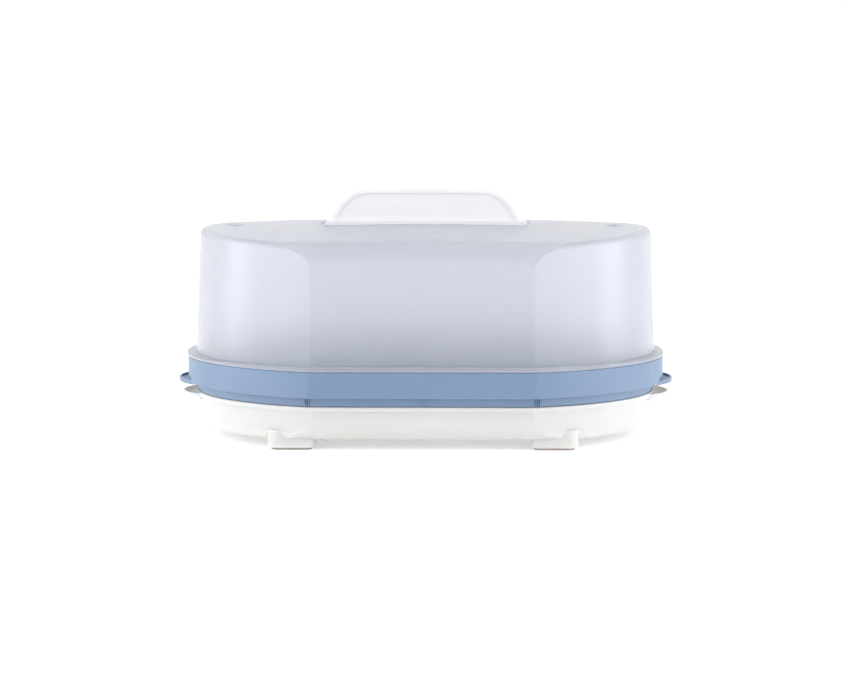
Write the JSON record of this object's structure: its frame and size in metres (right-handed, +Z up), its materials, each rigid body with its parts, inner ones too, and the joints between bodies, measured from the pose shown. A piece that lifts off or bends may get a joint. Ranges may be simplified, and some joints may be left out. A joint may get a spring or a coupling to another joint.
{
  "type": "bottle sterilizer",
  "caption": "Low oval steam sterilizer for baby bottles: a footed water tray, a basket with a slotted grid, and a translucent domed lid with a carrying handle, which lift apart.",
  "frame": {"origin": "centre of the outline on the plane that the four feet stand on", "axes": "+X along the length towards the right-hand ear, +Y from the front to the back, +Z up, the way the lid lifts off"},
  "size_m": [0.289, 0.211, 0.144],
  "materials": {
    "white_tray": "moulded white polypropylene, satin gloss",
    "blue_basket": "moulded mid blue polypropylene, fine satin texture",
    "blue_grid": "moulded mid blue polypropylene, fine satin texture",
    "clear_lid": "translucent natural polypropylene with a faint blue tint, glossy outside and slightly hazy",
    "clear_handle": "translucent natural polypropylene, glossy",
    "foot_pad": "soft warm grey silicone, matt"
  },
  "bodies": {
    "water_tray": {"base_tray": "white_tray", "foot_pad_front_left": "foot_pad", "foot_pad_front_right": "foot_pad", "foot_pad_back_left": "foot_pad", "foot_pad_back_right": "foot_pad"},
    "basket": {"basket_ring": "blue_basket", "steam_grid": "blue_grid"},
    "lid": {"lid_dome": "clear_lid", "lid_handle": "clear_handle"}
  },
  "joints": [
    {"name": "basket_lift", "type": "slide", "parent": "water_tray", "child": "basket", "axis": [0, 0, 1], "range_m": [0, 0.03]},
    {"name": "lid_lift", "type": "slide", "parent": "basket", "child": "lid", "axis": [0, 0, 1], "range_m": [0, 0.12]}
  ]
}
